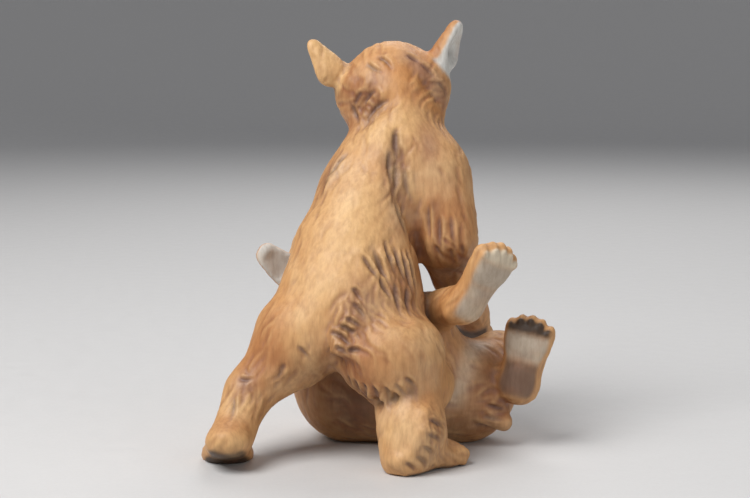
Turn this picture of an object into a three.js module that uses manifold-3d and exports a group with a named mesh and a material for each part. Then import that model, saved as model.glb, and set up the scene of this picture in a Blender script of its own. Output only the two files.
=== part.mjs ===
// Two bear cubs at play, a porcelain figure group, in millimetres with +Z up.
// One cub rears over the other, which lies on its back with its hind feet in the air.
// The rearing cub's back is seen when looking along +Y. The origin is the middle of the footprint.

import * as THREE from "three";
import Module from "manifold-3d";

// Driving dimensions
const gridStep = 1.1; // spacing of the clay's samples
const blockLow = [-52, -46, -5];
const blockHigh = [56, 50, 124];
const triangleGoal = 9600;
const evenness = 4e-4; // how much the thinning cares for triangles of one size
const far = 7; // samples further from a surface than this aren't told apart

// Points and directions as arrays
const plus = (a, b, k = 1) => [a[0] + b[0] * k, a[1] + b[1] * k, a[2] + b[2] * k];
const less = (a, b) => [a[0] - b[0], a[1] - b[1], a[2] - b[2]];
const dot = (a, b) => a[0] * b[0] + a[1] * b[1] + a[2] * b[2];
const cross = (a, b) => [
  a[1] * b[2] - a[2] * b[1],
  a[2] * b[0] - a[0] * b[2],
  a[0] * b[1] - a[1] * b[0],
];
const unit = (a) => {
  const size = Math.hypot(...a);
  return [a[0] / size, a[1] / size, a[2] / size];
};
const between = (a, b, t) => plus(a, less(b, a), t);

// A local frame as three directions: to the right side, forward and up
function facing(forward, up) {
  const ahead = unit(forward);
  const side = unit(cross(ahead, up));
  return [side, ahead, cross(side, ahead)];
}
const upright = facing([0, 1, 0], [0, 0, 1]);
function spotIn(axes, at, side, forward, up) {
  return plus(plus(plus(at, axes[0], side), axes[1], forward), axes[2], up);
}

// Forms: each has a box that holds it and a distance to its surface, negative inside
function egg(at, radii, axes = upright) {
  const [cx, cy, cz] = at;
  const [rx, ry, rz] = radii;
  const [s, f, u] = axes;
  const reach = [0, 1, 2].map((i) =>
    Math.hypot(rx * s[i], ry * f[i], rz * u[i]),
  );
  return {
    low: less(at, reach),
    high: plus(at, reach),
    distance(x, y, z) {
      const dx = x - cx;
      const dy = y - cy;
      const dz = z - cz;
      const a = (dx * s[0] + dy * s[1] + dz * s[2]) / rx;
      const b = (dx * f[0] + dy * f[1] + dz * f[2]) / ry;
      const c = (dx * u[0] + dy * u[1] + dz * u[2]) / rz;
      const k = Math.sqrt(a * a + b * b + c * c);
      const slope = Math.sqrt((a / rx) ** 2 + (b / ry) ** 2 + (c / rz) ** 2);
      return slope < 1e-6 ? -Math.min(rx, ry, rz) : (k * (k - 1)) / slope;
    },
  };
}

// A taper between two balls, flattened along a direction where flat is under 1
function taper(a, ra, b, rb, across = [0, 0, 1], flat = 1) {
  const along = less(b, a);
  const long = dot(along, along);
  const steepness = flat < 1 ? (1 + flat) / 2 : 1;
  return {
    low: [0, 1, 2].map((i) => Math.min(a[i] - ra, b[i] - rb)),
    high: [0, 1, 2].map((i) => Math.max(a[i] + ra, b[i] + rb)),
    distance(x, y, z) {
      const p = [x - a[0], y - a[1], z - a[2]];
      const t = Math.min(1, Math.max(0, dot(p, along) / long));
      const q = plus(p, along, -t);
      const h = dot(q, across) * (1 / flat - 1);
      const gone = Math.hypot(...plus(q, across, h));
      return (gone - ra - (rb - ra) * t) * steepness;
    },
  };
}

// Smooth blends of two distances
function blend(a, b, soft) {
  const h = Math.max(soft - Math.abs(a - b), 0) / soft;
  return Math.min(a, b) - (h * h * soft) / 4;
}

// Clay: distances sampled on a grid, to which forms are added and from which they are cut
class Clay {
  constructor() {
    this.count = [0, 1, 2].map((i) => Math.ceil((blockHigh[i] - blockLow[i]) / gridStep) + 1);
    this.field = new Float32Array(this.count[0] * this.count[1] * this.count[2]).fill(far);
  }
  index(i, j, k) {
    return (k * this.count[1] + j) * this.count[0] + i;
  }
  visit(low, high, change) {
    const from = low.map((v, i) => Math.max(0, Math.floor((v - blockLow[i]) / gridStep)));
    const to = high.map((v, i) =>
      Math.min(this.count[i] - 1, Math.ceil((v - blockLow[i]) / gridStep)),
    );
    for (let k = from[2]; k <= to[2]; k++)
      for (let j = from[1]; j <= to[1]; j++)
        for (let i = from[0]; i <= to[0]; i++)
          change(
            this.index(i, j, k),
            blockLow[0] + i * gridStep,
            blockLow[1] + j * gridStep,
            blockLow[2] + k * gridStep,
          );
  }
  visitForm(form, soft, change) {
    const margin = soft + 2 * gridStep;
    const low = plus(form.low, [-1, -1, -1], margin);
    const high = plus(form.high, [1, 1, 1], margin);
    this.visit(low, high, change);
    return this;
  }
  add(form, soft = 3) {
    return this.visitForm(form, soft, (n, x, y, z) => {
      this.field[n] = blend(this.field[n], form.distance(x, y, z), soft);
    });
  }
  cut(form, soft = 0.8) {
    return this.visitForm(form, soft, (n, x, y, z) => {
      this.field[n] = -blend(-this.field[n], form.distance(x, y, z), soft);
    });
  }
  near(x, y, z) {
    const cell = [x, y, z].map((v, i) => (v - blockLow[i]) / gridStep);
    const base = cell.map(Math.floor);
    if (base.some((v, i) => v < 0 || v > this.count[i] - 2)) return far;
    let total = 0;
    for (let corner = 0; corner < 8; corner++) {
      const step = [corner & 1, (corner >> 1) & 1, corner >> 2];
      const share = cell.map((v, i) => 1 - Math.abs(v - base[i] - step[i]));
      const n = this.index(base[0] + step[0], base[1] + step[1], base[2] + step[2]);
      total += share[0] * share[1] * share[2] * this.field[n];
    }
    return total;
  }
  met(from, look) {
    for (let gone = 0; gone < 120; gone += 0.25) {
      const here = plus(from, look, gone);
      if (this.near(...here) < 0) return here;
    }
    return null;
  }
  join(other, soft) {
    for (let n = 0; n < this.field.length; n++)
      this.field[n] = blend(this.field[n], other.field[n], soft);
    return this;
  }
}

// A head around its own middle: skull, brow, cheeks, muzzle, jaw, mouth, nose and eyes
function head(clay, { at, forward, up }) {
  const axes = facing(forward, up);
  const spot = (side, ahead, above) => spotIn(axes, at, side, ahead, above);
  clay.add(egg(at, [13.6, 13, 12.6], axes), 5);
  clay.add(egg(spot(0, 5.5, 3.4), [8.6, 7.5, 7], axes), 3);
  for (const side of [-1, 1]) {
    clay.add(egg(spot(side * 9.2, -0.5, -2.5), [7.6, 8.4, 8.6], axes), 3);
    clay.add(egg(spot(side * 7.4, -1, -9), [6.2, 7, 6.6], axes), 3);
    clay.add(egg(spot(side * 4.6, 11.2, 4.2), [3, 2.6, 2.2], axes), 2);
  }
  clay.add(taper(spot(0, 8.5, -3.4), 7.2, spot(0, 19.6, -4.6), 4.5), 3);
  clay.add(egg(spot(0, 15, -1.2), [3.6, 7, 3.4], axes), 2);
  clay.add(taper(spot(0, 6, -8.6), 5.6, spot(0, 16.8, -9), 3), 2);
  clay.cut(egg(spot(0, 19, -7.4), [7, 7.5, 0.8], axes), 0.6);
  clay.add(egg(spot(0, 23.2, -2.7), [3, 2.1, 2.2], axes), 0.8);
  for (const side of [-1, 1]) {
    clay.cut(egg(spot(side * 5.9, 12.9, 1.5), [2.2, 1.7, 1.7], axes), 1);
    clay.add(egg(spot(side * 5.6, 12, 1.5), [1.6, 1.6, 1.5], axes), 0.5);
  }
}

// A cupped ear from its root to its tip, hollow on the side it opens to
function ear(clay, { root, tip, open, wide = 4.6, point = 2, thick = 0.5 }) {
  const along = unit(less(tip, root));
  const long = Math.hypot(...less(tip, root));
  const axes = facing(along, open);
  const shell = taper(
    plus(root, along, wide * 0.5),
    wide,
    plus(tip, along, -point),
    point,
    axes[2],
    thick,
  );
  clay.add(shell, 1.4);
  const hollow = taper(
    spotIn(axes, root, 0, wide * 0.85, wide * thick),
    wide - 1.2,
    spotIn(axes, root, 0, long - point * 1.5, wide * thick * 0.8),
    point * 0.7,
    axes[2],
    thick * 1.2,
  );
  clay.cut(hollow, 0.7);
}

// Five toes in an arc, with short claws on a forepaw
function toes(clay, spot, axes, { apart, ahead, drop, size, clawed = false }) {
  for (let toe = -2; toe <= 2; toe++) {
    const side = toe * apart;
    const reach = ahead - drop * toe * toe;
    clay.add(egg(spot(side, reach, -0.6), size, axes), 0.8);
    if (!clawed) continue;
    const clawRoot = spot(side * 1.03, reach + size[1] * 0.5, 1.1);
    clay.add(taper(clawRoot, 0.8, spot(side * 1.06, reach + size[1] + 0.5, 0.3), 0.45), 0.5);
  }
}

// A long hind foot from its heel: sole, ball, toes and pads
function hindFoot(clay, { heel, toward, top }, soft = 3) {
  const axes = facing(toward, top);
  const spot = (side, ahead, above) => spotIn(axes, heel, side, ahead, above);
  clay.add(egg(heel, [5.4, 5.2, 4.4], axes), soft);
  clay.add(taper(spot(0, 1, 0.2), 5.4, spot(0, 12, -0.4), 6.4, axes[2], 0.66), 2.5);
  clay.add(egg(spot(0, 13, -0.7), [6.9, 5.8, 3.7], axes), 1.5);
  toes(clay, spot, axes, { apart: 2.75, ahead: 17.6, drop: 0.5, size: [1.75, 3, 2.5] });
  clay.cut(egg(spot(0, 8, -8.8), [12, 18, 5.5], axes), 0.8);
  clay.add(egg(spot(0, 11.6, -3), [5.4, 3.7, 1.1], axes), 0.5);
  clay.add(egg(spot(0, 2.6, -3), [3.2, 4.6, 0.9], axes), 0.8);
}

// A short forepaw from its wrist
function forePaw(clay, { wrist, toward, top }, soft = 2.5) {
  const axes = facing(toward, top);
  const spot = (side, ahead, above) => spotIn(axes, wrist, side, ahead, above);
  clay.add(egg(spot(0, 4, -0.3), [6, 6.2, 4.1], axes), soft);
  toes(clay, spot, axes, {
    apart: 2.55,
    ahead: 9,
    drop: 0.42,
    size: [1.65, 2.9, 2.3],
    clawed: true,
  });
}

// A lock of fur that lies on the clay: met by a look from outside, it runs a way along a heading
function lock(clay, look, from, heading, long, wide, stand = 0.32) {
  const root = clay.met(from, look);
  const tip = clay.met(plus(from, unit(heading), long), look);
  if (!root || !tip) return;
  const sunk = plus(root, look, wide * (1 - stand));
  clay.add(taper(sunk, wide, plus(tip, look, 0.2), wide * 0.35), 1);
}

// A groove pressed into the clay the same way
function groove(clay, look, from, to, wide, deep) {
  const start = clay.met(from, look);
  const end = clay.met(to, look);
  if (!start || !end) return;
  const lift = deep - wide;
  clay.cut(taper(plus(start, look, lift), wide, plus(end, look, lift), wide), 1.8);
}

// Rows of [across, height, heading in degrees, length, half width] on the side seen from behind
function locksFromBehind(clay, rows, stand) {
  for (const [across, height, degrees, long, wide] of rows) {
    const turn = (degrees * Math.PI) / 180;
    const heading = [Math.cos(turn), 0, Math.sin(turn)];
    lock(clay, [0, 1, 0], [across, blockLow[1], height], heading, long, wide, stand);
  }
}
function groovesFromBehind(clay, rows) {
  for (const [across, height, nextAcross, nextHeight, wide, deep] of rows)
    groove(
      clay,
      [0, 1, 0],
      [across, blockLow[1], height],
      [nextAcross, blockLow[1], nextHeight],
      wide,
      deep,
    );
}

// The rearing cub
function rearingCub() {
  const clay = new Clay();
  // Trunk, from the rump up to the nape
  clay.add(egg([-5, -13, 39], [18.2, 15, 15.5]));
  clay.add(egg([-6.5, -10, 46], [19.6, 15.5, 15]), 4);
  clay.add(egg([-5.5, -5, 56], [17.4, 15.5, 15]), 4);
  clay.add(egg([-2, 1, 67], [15.4, 15, 14]), 4);
  clay.add(egg([4.5, 6, 78], [16.4, 14, 12.6]), 4);
  clay.add(taper([6.5, 8, 84], 13.4, [6.8, 13, 94], 12), 4);
  // Buttocks, with the fold of the tail between them
  clay.add(egg([-16, -19, 36], [7.5, 8, 11]), 3);
  clay.add(egg([4.4, -21, 29.5], [14.8, 14, 13]), 3);
  // Right hind leg
  clay.add(egg([12, -13, 20], [10, 11, 10]), 3);
  clay.add(taper([8.8, -23.5, 20], 9.4, [9.8, -28.4, 10], 9), 2.2);
  clay.add(taper([9.8, -28.6, 10], 9, [7.6, -31.5, 4.6], 6.4), 3);
  hindFoot(clay, { heel: [8, -32, 3.4], toward: [0.74, 0.67, 0], top: [0, 0, 1] });
  // Left hind leg
  clay.add(egg([-21, -14, 33], [12.2, 12, 13]), 4);
  clay.add(taper([-24, -15, 28], 10, [-34.2, -19, 19], 6.6), 4);
  clay.add(taper([-34.2, -19, 19], 6.3, [-38, -27, 9.5], 5.9), 3);
  hindFoot(clay, { heel: [-39.2, -32.2, 8.2], toward: [-0.08, 0.92, -0.4], top: [0, 0.4, 1] });
  // Right foreleg
  clay.add(egg([15.5, 5, 77], [10.6, 10.6, 12]), 4);
  clay.add(taper([17.2, 3, 74], 10.2, [20.3, -2, 59.3], 8.9), 3);
  clay.add(taper([19.5, 0, 57], 8, [23.5, 10, 46], 6.6), 3);
  clay.add(taper([23.5, 10, 46], 6.4, [28.5, 21, 34], 5.4), 3);
  forePaw(clay, { wrist: [28.5, 22, 33], toward: [0.05, 0.72, -0.66], top: [0.2, 0.6, 0.8] });
  // Left foreleg
  clay.add(egg([-6.6, 8, 71.5], [8.6, 10, 10]), 4);
  clay.add(taper([-6.5, 10, 71], 8.4, [-11.5, 21, 62.5], 6.8), 3);
  clay.add(taper([-11.5, 21, 62.5], 6.4, [-19, 23, 54.5], 5.2), 3);
  forePaw(clay, { wrist: [-20, 23.5, 53.5], toward: [-0.45, 0.3, -0.84], top: [-0.8, 0.2, 0.55] });
  // Tail, pressed down between the buttocks
  clay.add(taper([-8, -25, 40], 3.6, [-9.5, -29, 33], 2), 2);
  // Head
  head(clay, { at: [5, 17, 101], forward: [0.12, 0.87, -0.4], up: [-0.12, 0.4, 0.9] });
  ear(clay, {
    root: [-11.2, 15.5, 103],
    tip: [-19, 16, 114],
    open: [-0.42, 0.84, -0.3],
    wide: 5.2,
    point: 2.4,
    thick: 0.65,
  });
  ear(clay, {
    root: [19.2, 16, 107.2],
    tip: [24, 16.6, 119.6],
    open: [0.82, -0.5, -0.2],
    wide: 5.2,
    point: 3,
    thick: 0.8,
  });
  // Creases behind the cheeks, along the spine, at the armpit and in the flank
  groovesFromBehind(clay, [
    [-3.5, 99, -5.5, 94.5, 1.8, 0.9],
    [3.5, 97, -4, 90.5, 1.8, 1.1],
    [11, 106, 14.5, 103, 1.6, 0.6],
    [14.5, 103, 19.5, 96, 1.6, 0.8],
    [6, 89, 6.5, 81, 2.4, 0.5],
    [6.5, 81, 7.5, 71.5, 2.4, 0.7],
    [7.5, 71.5, 11, 60, 2, 1.1],
    [11, 60, 13.5, 52, 1.8, 1.1],
    [4.5, 60, 7.5, 49.5, 1.4, 0.6],
    [0, 58, 4, 49, 1.4, 0.6],
    [-5, 47.5, 8, 40.5, 1.8, 0.8],
    [0.5, 18.4, 8, 22, 1.8, 1.3],
  ]);
  // Locks on the cheeks, shoulder, elbow, flank and haunch
  locksFromBehind(clay, [
    [-6.5, 102, -105, 9, 2.4],
    [-1.5, 101, -130, 9, 2.4],
    [15, 103, -60, 8, 2.2],
    [-9, 80, -125, 8, 2.2],
    [17, 59, -65, 7, 2.2],
    [20.5, 58, -72, 7, 2.2],
    [24, 57, -80, 6, 2],
    [-3.5, 57, -55, 9, 1.8],
    [1.8, 57, -68, 9, 1.8],
    [5, 54, -75, 10, 1.8],
    [8, 54, -78, 10, 1.8],
    [-6, 48.5, -48, 6, 1.8],
    [-8, 41, -30, 7, 1.8],
    [-6, 45, -48, 7, 1.8],
    [-11, 36, -25, 7, 1.8],
    [-10.5, 32.5, -20, 7, 1.8],
  ]);
  // Locks that end the haunch and the back of the leg
  locksFromBehind(
    clay,
    [
      [-8, 22, -80, 4, 1.9],
      [-4.5, 21.5, -85, 4, 1.9],
      [-1, 21, -88, 4, 1.9],
      [2.5, 21.5, -80, 4, 1.9],
      [6, 23.5, -60, 4, 1.9],
      [13, 16, -40, 6.5, 2.3],
      [12.8, 12.5, -38, 6, 2.2],
      [11.5, 9.5, -43, 5.5, 2.1],
      [9.5, 6.5, -50, 5.5, 2],
      [6.5, 4.5, -55, 4, 1.8],
      [-29, 24, -75, 5, 1.6],
      [-26, 25.5, -80, 5, 1.6],
    ],
    0.7,
  );
  return clay;
}

// The cub on its back
function lyingCub() {
  const clay = new Clay();
  clay.add(egg([25, 3.5, 14.2], [15.2, 13.5, 15.1]));
  clay.add(egg([9, 0.5, 15.6], [17, 15, 16.5]), 5);
  clay.add(egg([-7, 4.5, 16.6], [16.5, 15.5, 17.5]), 5);
  clay.add(taper([-9, 12, 26], 13, [-12.5, 19, 36], 11.5), 4);
  // Right hind leg, its foot against the rearing cub's elbow
  clay.add(egg([17, 0, 24], [9, 9.5, 12]), 4);
  clay.add(taper([15, -1, 27], 8, [14.5, -2, 36], 6.6), 3);
  clay.add(taper([14.5, -2, 37], 6.2, [22, -12, 42], 5.2), 3);
  hindFoot(clay, { heel: [24.6, -15.5, 42], toward: [0.48, -0.12, 0.87], top: [-0.5, 0.82, 0.28] });
  // Left hind leg
  clay.add(egg([33, 6, 18], [8, 9, 9]), 4);
  clay.add(taper([33, 8, 19], 8, [35.5, 9, 24], 6.2), 3);
  clay.add(taper([35.5, 9, 24], 6, [39, -3, 20], 5), 3);
  hindFoot(clay, { heel: [40.2, -8, 18], toward: [0.2, 0.06, 0.97], top: [0.28, 0.95, -0.1] });
  // Right foreleg, held against the rearing cub's belly
  clay.add(taper([-10, 4, 25], 8.5, [-17, 6, 19], 6.6), 3);
  clay.add(taper([-17, 6, 19], 6.2, [-19, 7, 31], 5.2), 3);
  forePaw(clay, { wrist: [-18.6, 7.6, 32], toward: [0.05, -0.12, 0.98], top: [-0.5, 0.85, 0.1] });
  // Left foreleg, on the rearing cub's chest
  clay.add(taper([-4, 21, 24], 8.5, [7, 27, 31], 6.8), 3);
  clay.add(taper([7, 27, 31], 6.4, [7, 20, 45], 5.2), 3);
  forePaw(clay, { wrist: [6.8, 19, 47], toward: [0, -0.45, 0.9], top: [0.1, 0.85, 0.4] });
  // Head
  head(clay, { at: [-12.5, 22, 39], forward: [0.5, 0.5, 0.7], up: [-0.75, -0.05, 0.65] });
  ear(clay, {
    root: [-23.5, 14.5, 45.5],
    tip: [-33.8, 10.5, 54.6],
    open: [0.35, -0.9, 0.1],
    wide: 5.3,
    point: 3.8,
  });
  ear(clay, {
    root: [-21.5, 29.5, 42],
    tip: [-27.5, 39, 47],
    open: [0.5, 0.35, 0.8],
    wide: 4.8,
    point: 3,
  });
  // Tail, and locks on the rump, the heel and the belly
  clay.add(taper([34, -4, 9], 4, [36.4, -6.4, 7], 2.6), 2);
  locksFromBehind(
    clay,
    [
      [33, 13, -35, 6, 2],
      [31, 9, -30, 6, 2],
      [20, 40, -75, 5, 1.8],
      [24, 40.5, -70, 5, 1.8],
    ],
    0.7,
  );
  return clay;
}

// Where the distance is zero: each cube of samples is six tetrahedra, which always close
function surfaceOf(clay) {
  const corners = [
    [0, 0, 0],
    [1, 0, 0],
    [1, 1, 0],
    [0, 1, 0],
    [0, 0, 1],
    [1, 0, 1],
    [1, 1, 1],
    [0, 1, 1],
  ];
  const tetrahedra = [
    [0, 5, 1, 6],
    [0, 1, 2, 6],
    [0, 2, 3, 6],
    [0, 3, 7, 6],
    [0, 7, 4, 6],
    [0, 4, 5, 6],
  ];
  const { count, field } = clay;
  const points = [];
  const faces = [];
  const known = new Map();
  const nudge = 1e-3 * gridStep;
  const valueAt = (n) => (Math.abs(field[n]) < nudge ? nudge : field[n]);
  const place = (n) => {
    const i = n % count[0];
    const j = Math.floor(n / count[0]) % count[1];
    const k = Math.floor(n / (count[0] * count[1]));
    return [blockLow[0] + i * gridStep, blockLow[1] + j * gridStep, blockLow[2] + k * gridStep];
  };
  const crossing = (a, b) => {
    const [m, n] = a < b ? [a, b] : [b, a];
    const key = m * 67108864 + n;
    let found = known.get(key);
    if (found === undefined) {
      const share = Math.min(0.9, Math.max(0.1, valueAt(m) / (valueAt(m) - valueAt(n))));
      found = points.length;
      points.push(between(place(m), place(n), share));
      known.set(key, found);
    }
    return found;
  };
  const face = (a, b, c, inside) => {
    const [p, q, r] = [points[a], points[b], points[c]];
    const out = cross(less(q, p), less(r, p));
    if (dot(out, less(inside, p)) > 0) faces.push([a, c, b]);
    else faces.push([a, b, c]);
  };
  for (let k = 0; k + 1 < count[2]; k++)
    for (let j = 0; j + 1 < count[1]; j++)
      for (let i = 0; i + 1 < count[0]; i++) {
        const cube = corners.map(([x, y, z]) => clay.index(i + x, j + y, k + z));
        let inside = 0;
        for (const n of cube) if (valueAt(n) < 0) inside++;
        if (inside === 0 || inside === 8) continue;
        for (const four of tetrahedra) {
          const ends = four.map((c) => cube[c]);
          const within = ends.filter((n) => valueAt(n) < 0);
          const without = ends.filter((n) => valueAt(n) >= 0);
          if (!within.length || !without.length) continue;
          const heart = place(within[0]);
          if (within.length === 1) {
            const [a, b, c] = without.map((n) => crossing(within[0], n));
            face(a, b, c, heart);
          } else if (within.length === 3) {
            const [a, b, c] = within.map((n) => crossing(without[0], n));
            const [p, q, r] = within.map(place);
            face(a, b, c, plus(plus(plus([0, 0, 0], p, 1 / 3), q, 1 / 3), r, 1 / 3));
          } else {
            const a = crossing(within[0], without[0]);
            const b = crossing(within[0], without[1]);
            const c = crossing(within[1], without[1]);
            const d = crossing(within[1], without[0]);
            const middle = between(place(within[0]), place(within[1]), 0.5);
            face(a, b, c, middle);
            face(a, c, d, middle);
          }
        }
      }
  return { points, faces };
}

// Evens a closed mesh out: each point moves part of the way to the middle of its neighbours
function evened({ points, faces }, passes, share) {
  let now = points;
  for (let pass = 0; pass < passes; pass++) {
    const sums = now.map(() => [0, 0, 0, 0]);
    for (const face of faces)
      for (let n = 0; n < 3; n++) {
        const into = sums[face[n]];
        const next = now[face[(n + 1) % 3]];
        for (let i = 0; i < 3; i++) into[i] += next[i];
        into[3]++;
      }
    now = now.map((point, v) => {
      const [x, y, z, met] = sums[v];
      return between(point, [x / met, y / met, z / met], share);
    });
  }
  return { points: now, faces };
}

// Thins a closed mesh by folding edges, the one that leaves its surface least first
function thinned({ points, faces }, goal) {
  const cones = points.map(() => new Float64Array(10));
  const around = points.map(() => new Set());
  const stamp = new Int32Array(points.length);
  const addPlane = (into, [a, b, c], d, weight) => {
    const terms = [a * a, a * b, a * c, a * d, b * b, b * c, b * d, c * c, c * d, d * d];
    for (let i = 0; i < 10; i++) into[i] += terms[i] * weight;
  };
  faces.forEach((face, f) => {
    const [p, q, r] = face.map((v) => points[v]);
    const wide = cross(less(q, p), less(r, p));
    const size = Math.hypot(...wide);
    for (const v of face) around[v].add(f);
    if (size < 1e-9) return;
    const normal = wide.map((v) => v / size);
    for (const v of face) addPlane(cones[v], normal, -dot(normal, p), size);
  });
  const errorAt = (q, [x, y, z]) =>
    q[0] * x * x + 2 * q[1] * x * y + 2 * q[2] * x * z + 2 * q[3] * x +
    q[4] * y * y + 2 * q[5] * y * z + 2 * q[6] * y +
    q[7] * z * z + 2 * q[8] * z + q[9];
  const bestPlace = (q, a, b) => {
    const rows = [
      [q[0], q[1], q[2]],
      [q[1], q[4], q[5]],
      [q[2], q[5], q[7]],
    ];
    const side = [-q[3], -q[6], -q[8]];
    const whole = dot(rows[0], cross(rows[1], rows[2]));
    const spread = (q[0] + q[4] + q[7]) ** 3;
    const choices = [between(a, b, 0.5), a, b];
    if (Math.abs(whole) > 1e-4 * spread) {
      const solved = [0, 1, 2].map((n) => {
        const swapped = rows.map((row, r) => row.map((v, c) => (c === n ? side[r] : v)));
        return dot(swapped[0], cross(swapped[1], swapped[2])) / whole;
      });
      const long = Math.hypot(...less(a, b));
      if (Math.hypot(...less(solved, choices[0])) < 2 * long) choices.push(solved);
    }
    let best = choices[0];
    for (const choice of choices) if (errorAt(q, choice) < errorAt(q, best)) best = choice;
    return best;
  };
  // A heap of edges, cheapest on top
  const heap = [];
  const push = (item) => {
    let n = heap.push(item) - 1;
    while (n > 0) {
      const up = (n - 1) >> 1;
      if (heap[up].cost <= heap[n].cost) break;
      [heap[up], heap[n]] = [heap[n], heap[up]];
      n = up;
    }
  };
  const pop = () => {
    const top = heap[0];
    const last = heap.pop();
    if (!heap.length) return top;
    heap[0] = last;
    let n = 0;
    for (;;) {
      let least = n;
      for (const c of [2 * n + 1, 2 * n + 2])
        if (c < heap.length && heap[c].cost < heap[least].cost) least = c;
      if (least === n) return top;
      [heap[least], heap[n]] = [heap[n], heap[least]];
      n = least;
    }
  };
  const consider = (a, b) => {
    const q = cones[a].map((v, i) => v + cones[b][i]);
    const place = bestPlace(q, points[a], points[b]);
    const long = Math.hypot(...less(points[a], points[b]));
    const cost = Math.max(0, errorAt(q, place)) + evenness * long ** 3;
    push({ cost, a, b, place, stamps: stamp[a] + stamp[b] });
  };
  const neighbours = (v) => {
    const found = new Set();
    for (const f of around[v]) for (const w of faces[f]) if (w !== v) found.add(w);
    return found;
  };
  const shapeOf = (corners) => {
    const wide = cross(less(corners[1], corners[0]), less(corners[2], corners[0]));
    const size = Math.hypot(...wide);
    const sides = [0, 1, 2].map((n) => Math.hypot(...less(corners[n], corners[(n + 1) % 3])));
    return { wide, size, fullness: size / Math.max(...sides) ** 2 };
  };
  const turns = (v, gone, place) => {
    for (const f of around[v]) {
      if (faces[f].includes(gone)) continue;
      const before = shapeOf(faces[f].map((w) => points[w]));
      const after = shapeOf(faces[f].map((w) => (w === v ? place : points[w])));
      if (after.fullness < 0.12 && after.fullness < before.fullness) return true;
      if (before.fullness < 0.02) continue;
      if (dot(before.wide, after.wide) < 0.3 * before.size * after.size) return true;
    }
    return false;
  };
  faces.forEach(([a, b, c]) => {
    if (a < b) consider(a, b);
    if (b < c) consider(b, c);
    if (c < a) consider(c, a);
  });
  let left = faces.length;
  while (left > goal && heap.length) {
    const { a, b, place, stamps } = pop();
    if (stamp[a] < 0 || stamp[b] < 0 || stamps !== stamp[a] + stamp[b]) continue;
    const near = neighbours(b);
    const shared = [...neighbours(a)].filter((v) => near.has(v));
    if (shared.length !== 2 || turns(a, b, place) || turns(b, a, place)) continue;
    for (const f of [...around[b]]) {
      if (faces[f].includes(a)) {
        for (const v of faces[f]) around[v].delete(f);
        faces[f] = null;
        left--;
      } else {
        faces[f] = faces[f].map((v) => (v === b ? a : v));
        around[a].add(f);
      }
    }
    points[a] = place;
    cones[a] = cones[a].map((v, i) => v + cones[b][i]);
    stamp[b] = -1;
    stamp[a]++;
    for (const v of neighbours(a)) consider(a, v);
  }
  const kept = new Map();
  const slimFaces = [];
  const slimPoints = [];
  for (const face of faces) {
    if (!face) continue;
    slimFaces.push(
      face.map((v) => {
        if (!kept.has(v)) kept.set(v, slimPoints.push(points[v]) - 1);
        return kept.get(v);
      }),
    );
  }
  return { points: slimPoints, faces: slimFaces };
}

// Clay kept clear of closed pockets: a sample outside the clay that can't be reached is filled
function withoutPockets(clay) {
  const { count, field } = clay;
  const ways = [
    [-1, 0, 0],
    [1, 0, 0],
    [0, -1, 0],
    [0, 1, 0],
    [0, 0, -1],
    [0, 0, 1],
  ];
  const reached = new Uint8Array(field.length);
  const queue = [0];
  reached[0] = 1;
  while (queue.length) {
    const n = queue.pop();
    const i = n % count[0];
    const j = Math.floor(n / count[0]) % count[1];
    const k = Math.floor(n / (count[0] * count[1]));
    for (const way of ways) {
      const next = plus([i, j, k], way);
      if (next.some((v, axis) => v < 0 || v >= count[axis])) continue;
      const m = clay.index(...next);
      if (reached[m] || field[m] < 0) continue;
      reached[m] = 1;
      queue.push(m);
    }
  }
  for (let n = 0; n < field.length; n++) if (!reached[n]) field[n] = Math.min(field[n], -0.3);
  return clay;
}

const wasm = await Module();
wasm.setup();

function manifoldOf({ points, faces }) {
  return new wasm.Manifold(
    new wasm.Mesh({
      numProp: 3,
      vertProperties: new Float32Array(points.flat()),
      triVerts: new Uint32Array(faces.flat()),
    }),
  );
}

function manifoldOfGeometry(geometry) {
  const at = geometry.attributes.position;
  const order = geometry.index.array;
  const points = [];
  const known = new Map();
  const names = [];
  for (let n = 0; n < at.count; n++) {
    const point = [at.getX(n), at.getY(n), at.getZ(n)];
    const key = point.map((v) => v.toFixed(4)).join();
    if (!known.has(key)) known.set(key, points.push(point) - 1);
    names.push(known.get(key));
  }
  const faces = [];
  for (let n = 0; n < order.length; n += 3) {
    const [a, b, c] = order.slice(n, n + 3);
    faces.push([names[a], names[b], names[c]]);
  }
  return manifoldOf({ points, faces });
}

const group = new THREE.Group();
group.name = "bear_cub_group";

const clay = withoutPockets(rearingCub().join(lyingCub(), 1.6));
const modelled = thinned(evened(surfaceOf(clay), 2, 0.5), triangleGoal);
const ground = manifoldOfGeometry(new THREE.BoxGeometry(400, 400, 100).translate(0, 0, -50));
const trimmed = manifoldOf(modelled).subtract(ground);
const mesh = trimmed.getMesh();
const corners = new Float32Array(mesh.vertProperties);
const geometry = new THREE.BufferGeometry();
geometry.setAttribute("position", new THREE.BufferAttribute(corners, 3));
geometry.setIndex(new THREE.BufferAttribute(new Uint32Array(mesh.triVerts), 1));
geometry.computeBoundingBox();
const middle = geometry.boundingBox.getCenter(new THREE.Vector3());
geometry.translate(-middle.x, -middle.y, 0);
geometry.computeVertexNormals();
const cubs = new THREE.Mesh(
  geometry,
  new THREE.MeshStandardMaterial({ color: 0xa2734c, roughness: 0.62, metalness: 0 }),
);
cubs.name = "bear_cubs";
group.add(cubs);

export default group;
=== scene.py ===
import math
import bpy
import numpy as np
from mathutils import Matrix, Vector, kdtree


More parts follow.
